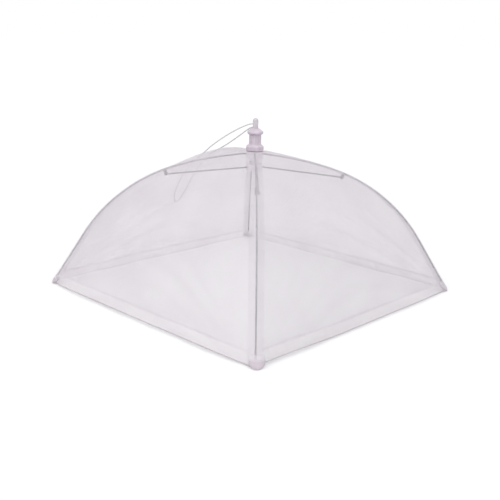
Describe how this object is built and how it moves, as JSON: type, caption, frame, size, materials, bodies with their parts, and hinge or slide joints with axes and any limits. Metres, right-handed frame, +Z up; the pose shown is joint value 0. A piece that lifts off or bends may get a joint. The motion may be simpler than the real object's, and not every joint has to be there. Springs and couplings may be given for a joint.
{
  "type": "folding mesh food cover",
  "caption": "Square pop-up net food cover on curved wire ribs, opened by a pull cord and folded by pressing a push button on its top grip.",
  "frame": {"origin": "centre of the square base on the table, at rest with the cover open", "axes": "+Z up through the grip; X and Y square to the sides, so the ribs lie on the diagonals"},
  "size_m": [0.415, 0.415, 0.2398],
  "materials": {
    "lilac_plastic": "satin moulded",
    "button_plastic": "satin moulded",
    "dark_wire": "dark oxide wire",
    "clip_steel": "dark folded sheet",
    "pin_steel": "drawn",
    "net": "open polyester net",
    "binding_tape": "woven binding",
    "cord": "braided cord"
  },
  "bodies": {
    "crown": {"grip": "lilac_plastic", "rib_hub": "lilac_plastic", "rib_hinge_pins": "pin_steel", "pull_cord": "cord", "panel_front_right": "net", "panel_back_right": "net", "panel_back_left": "net", "panel_front_left": "net", "hem_front_right": "binding_tape", "hem_back_right": "binding_tape", "hem_back_left": "binding_tape", "hem_front_left": "binding_tape"},
    "push_rod": {"push_rod": "button_plastic", "inner_cord": "cord"},
    "runner": {"runner": "lilac_plastic", "runner_pins": "pin_steel", "runner_knot": "cord"},
    "rib_front": {"rib_front": "dark_wire", "clip_front": "clip_steel", "end_cap_front": "lilac_plastic", "seam_tape_front": "binding_tape", "corner_pocket_front": "binding_tape"},
    "stretcher_front": {"stretcher_front": "dark_wire", "rivet_front": "pin_steel"},
    "rib_right": {"rib_right": "dark_wire", "clip_right": "clip_steel", "end_cap_right": "lilac_plastic", "seam_tape_right": "binding_tape", "corner_pocket_right": "binding_tape"},
    "stretcher_right": {"stretcher_right": "dark_wire", "rivet_right": "pin_steel"},
    "rib_back": {"rib_back": "dark_wire", "clip_back": "clip_steel", "end_cap_back": "lilac_plastic", "seam_tape_back": "binding_tape", "corner_pocket_back": "binding_tape"},
    "stretcher_back": {"stretcher_back": "dark_wire", "rivet_back": "pin_steel"},
    "rib_left": {"rib_left": "dark_wire", "clip_left": "clip_steel", "end_cap_left": "lilac_plastic", "seam_tape_left": "binding_tape", "corner_pocket_left": "binding_tape"},
    "stretcher_left": {"stretcher_left": "dark_wire", "rivet_left": "pin_steel"}
  },
  "joints": [
    {"name": "runner_slide", "type": "slide", "parent": "crown", "child": "runner", "axis": [0, 0, -1], "range_m": [0, 0.19228], "deforming": ["panel_front_right", "panel_back_right", "panel_back_left", "panel_front_left", "hem_front_right", "hem_back_right", "hem_back_left", "hem_front_left", "seam_tape_front", "seam_tape_right", "seam_tape_back", "seam_tape_left", "pull_cord", "inner_cord"]},
    {"name": "push_rod_slide", "type": "slide", "parent": "crown", "child": "push_rod", "axis": [0, 0, -1], "range_m": [0, 0.01341]},
    {"name": "rib_fold_front", "type": "hinge", "parent": "crown", "child": "rib_front", "pos_m": [0.00672, -0.00672, 0.1915], "axis": [0.7071, 0.7071, 0], "range_deg": [0, 52.01]},
    {"name": "stretcher_fold_front", "type": "hinge", "parent": "runner", "child": "stretcher_front", "pos_m": [0.00601, -0.00601, 0.173], "axis": [0.7071, 0.7071, 0], "range_deg": [-72.37, 0]},
    {"name": "rib_fold_right", "type": "hinge", "parent": "crown", "child": "rib_right", "pos_m": [0.00672, 0.00672, 0.1915], "axis": [-0.7071, 0.7071, 0], "range_deg": [0, 52.01]},
    {"name": "stretcher_fold_right", "type": "hinge", "parent": "runner", "child": "stretcher_right", "pos_m": [0.00601, 0.00601, 0.173], "axis": [-0.7071, 0.7071, 0], "range_deg": [-72.37, 0]},
    {"name": "rib_fold_back", "type": "hinge", "parent": "crown", "child": "rib_back", "pos_m": [-0.00672, 0.00672, 0.1915], "axis": [-0.7071, -0.7071, 0], "range_deg": [0, 52.01]},
    {"name": "stretcher_fold_back", "type": "hinge", "parent": "runner", "child": "stretcher_back", "pos_m": [-0.00601, 0.00601, 0.173], "axis": [-0.7071, -0.7071, 0], "range_deg": [-72.37, 0]},
    {"name": "rib_fold_left", "type": "hinge", "parent": "crown", "child": "rib_left", "pos_m": [-0.00672, -0.00672, 0.1915], "axis": [0.7071, -0.7071, 0], "range_deg": [0, 52.01]},
    {"name": "stretcher_fold_left", "type": "hinge", "parent": "runner", "child": "stretcher_left", "pos_m": [-0.00601, -0.00601, 0.173], "axis": [0.7071, -0.7071, 0], "range_deg": [-72.37, 0]}
  ],
  "couplings": [
    {"joint": "push_rod_slide", "follows": "runner_slide", "ratio": 0.06969},
    {"joint": "rib_fold_front", "follows": "runner_slide", "rad_per_m": 4.72},
    {"joint": "stretcher_fold_front", "follows": "runner_slide", "rad_per_m": -6.5681},
    {"joint": "rib_fold_right", "follows": "runner_slide", "rad_per_m": 4.72},
    {"joint": "stretcher_fold_right", "follows": "runner_slide", "rad_per_m": -6.5681},
    {"joint": "rib_fold_back", "follows": "runner_slide", "rad_per_m": 4.72},
    {"joint": "stretcher_fold_back", "follows": "runner_slide", "rad_per_m": -6.5681},
    {"joint": "rib_fold_left", "follows": "runner_slide", "rad_per_m": 4.72},
    {"joint": "stretcher_fold_left", "follows": "runner_slide", "rad_per_m": -6.5681}
  ]
}
